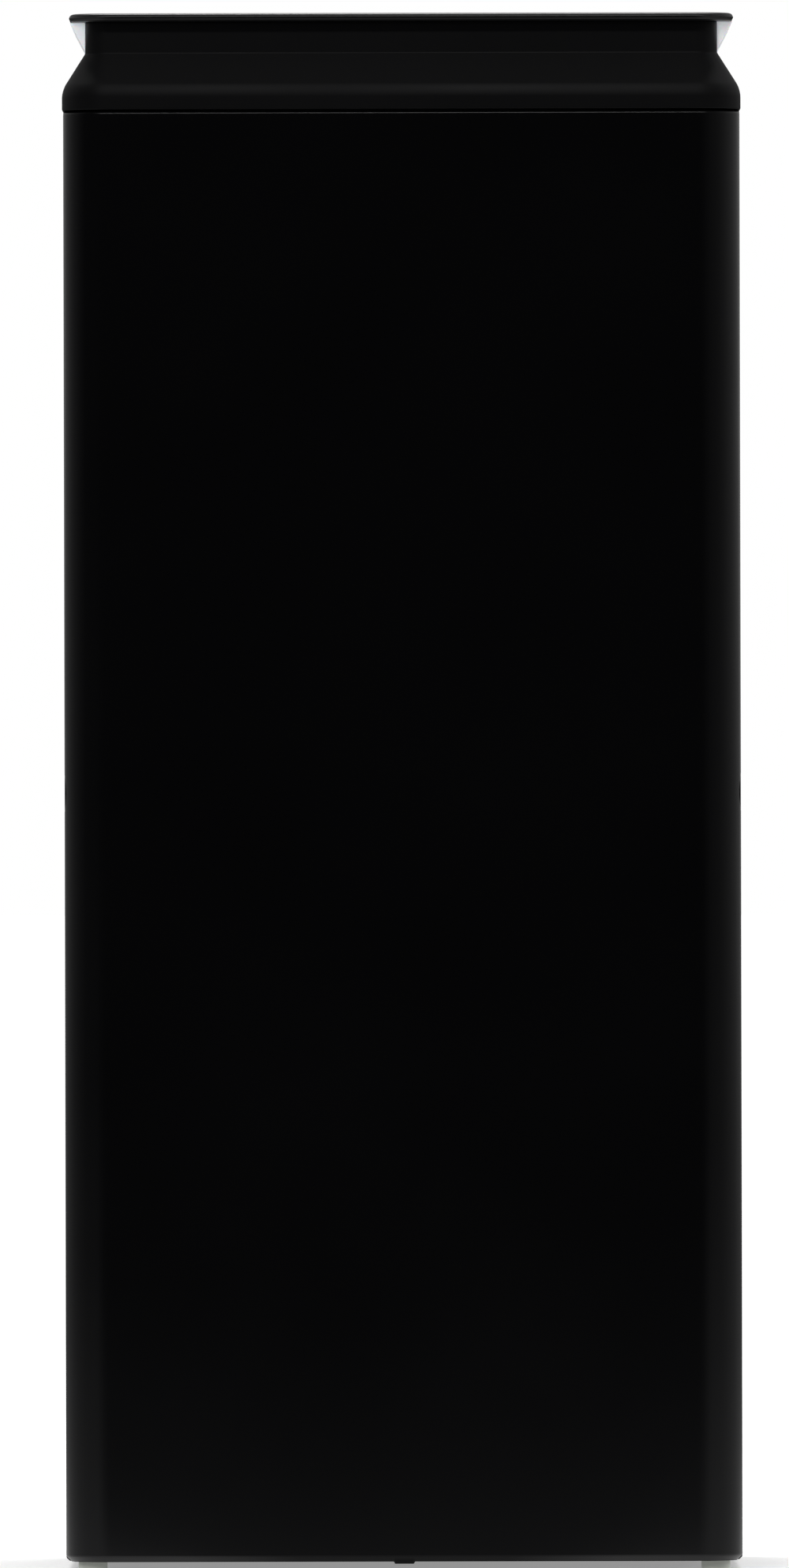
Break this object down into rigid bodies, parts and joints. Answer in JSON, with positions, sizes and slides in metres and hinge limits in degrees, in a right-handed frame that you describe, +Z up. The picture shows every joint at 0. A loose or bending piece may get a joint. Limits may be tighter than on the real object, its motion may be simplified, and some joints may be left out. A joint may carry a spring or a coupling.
{
  "type": "air purifier",
  "caption": "Tower air purifier: plain wrap-round front cover held by magnets, waisted top with an overhanging plate, stacked filters, side intakes and a blower to the top grille.",
  "frame": {"origin": "centre of the bounding box's bottom face, on the floor between the feet", "axes": "+Z up, +X to the right seen from the front, the front cover faces -Y"},
  "size_m": [0.305, 0.26, 0.7],
  "materials": {
    "cover_black": "satin gloss",
    "casing_black": "fine grain, satin",
    "plate_black": "satin gloss",
    "key_grey": "soft touch",
    "lens_smoke": "smoked, polished",
    "frosted_guide": "frosted",
    "foot_grey": "matt",
    "inner_grey": "moulded",
    "fan_grey": "moulded",
    "steel": "zinc plated",
    "magnet_metal": "nickel plated",
    "dark_metal": "sintered",
    "brass": "plain",
    "copper": "enamelled wire",
    "aluminium": "extruded",
    "board_green": "solder mask",
    "part_black": "moulded",
    "part_white": "moulded",
    "lead_black": "smooth sheath",
    "label_silver": "blank foil",
    "mesh_black": "woven nylon",
    "frame_white": "moulded",
    "media_white": "glass fibre paper",
    "carbon_black": "granular"
  },
  "bodies": {
    "cabinet": {"top_plate": "plate_black", "top_cap": "casing_black", "rear_shell": "casing_black", "base_tray": "casing_black", "cord_clip": "casing_black", "left_intake_grille": "casing_black", "right_intake_grille": "casing_black", "outlet_grille": "inner_grey", "feet": "foot_grey", "left_light_guide": "frosted_guide", "right_light_guide": "frosted_guide", "display_lens": "lens_smoke", "base_screws": "steel", "rear_screws": "steel", "fan_screws": "steel", "strikers": "steel", "filter_bay": "inner_grey", "fan_guard": "inner_grey", "scroll_front": "inner_grey", "scroll_rear": "inner_grey", "air_duct": "inner_grey", "motor_flange": "steel", "motor_grommets": "lead_black", "stator_core": "dark_metal", "stator_coils": "copper", "motor_bearings": "steel", "left_led_strip": "part_white", "right_led_strip": "part_white", "display_module": "part_white", "control_board": "board_green", "power_board": "board_green", "key_switches": "part_black", "board_standoffs": "part_white", "transformer": "copper", "capacitors": "part_black", "heat_sink": "aluminium", "power_inlet": "part_black", "inlet_pins": "brass", "dust_sensor": "part_black", "rating_plate": "label_silver", "motor_lead": "lead_black", "control_lead": "lead_black"},
    "rotor": {"impeller": "fan_grey", "impeller_nut": "brass", "rotor_can": "steel", "rotor_magnets": "dark_metal", "motor_shaft": "steel"},
    "cover": {"front_cover": "cover_black", "cover_magnets": "magnet_metal"},
    "screen": {"screen_frame": "part_black", "screen_mesh": "mesh_black"},
    "particle_filter": {"hepa_frame": "frame_white", "hepa_media": "media_white"},
    "odour_filter": {"carbon_frame": "part_black", "carbon_core": "carbon_black"},
    "power_button": {"power_key": "key_grey"},
    "speed_button": {"speed_key": "key_grey"},
    "mode_button": {"mode_key": "key_grey"},
    "timer_button": {"timer_key": "key_grey"},
    "hatch": {"sensor_hatch": "casing_black"}
  },
  "joints": [
    {"name": "fan_spin", "type": "hinge", "parent": "cabinet", "child": "rotor", "pos_m": [-0.02, 0.0119, 0.4278], "axis": [0, -1, 0], "continuous": true},
    {"name": "cover_pull", "type": "slide", "parent": "cabinet", "child": "cover", "axis": [0, -1, 0], "range_m": [0, 0.24]},
    {"name": "screen_slide", "type": "slide", "parent": "cabinet", "child": "screen", "axis": [0, -1, 0], "range_m": [0, 0.18]},
    {"name": "particle_filter_slide", "type": "slide", "parent": "cabinet", "child": "particle_filter", "axis": [0, -1, 0], "range_m": [0, 0.12]},
    {"name": "odour_filter_slide", "type": "slide", "parent": "cabinet", "child": "odour_filter", "axis": [0, -1, 0], "range_m": [0, 0.06]},
    {"name": "power_press", "type": "slide", "parent": "cabinet", "child": "power_button", "axis": [0, 0, -1], "range_m": [0, 0.001], "stiffness_N_per_m": 500, "springref_m": -0.0012},
    {"name": "speed_press", "type": "slide", "parent": "cabinet", "child": "speed_button", "axis": [0, 0, -1], "range_m": [0, 0.001], "stiffness_N_per_m": 500, "springref_m": -0.0012},
    {"name": "mode_press", "type": "slide", "parent": "cabinet", "child": "mode_button", "axis": [0, 0, -1], "range_m": [0, 0.001], "stiffness_N_per_m": 500, "springref_m": -0.0012},
    {"name": "timer_press", "type": "slide", "parent": "cabinet", "child": "timer_button", "axis": [0, 0, -1], "range_m": [0, 0.001], "stiffness_N_per_m": 500, "springref_m": -0.0012},
    {"name": "hatch_swing", "type": "hinge", "parent": "cabinet", "child": "hatch", "pos_m": [0.15075, 0.062, 0.56755], "axis": [0, -1, 0], "range_deg": [0, 90]}
  ],
  "couplings": [
    {"joint": "screen_slide", "follows": "cover_pull", "ratio": 0.75},
    {"joint": "particle_filter_slide", "follows": "cover_pull", "ratio": 0.5},
    {"joint": "odour_filter_slide", "follows": "cover_pull", "ratio": 0.25}
  ]
}
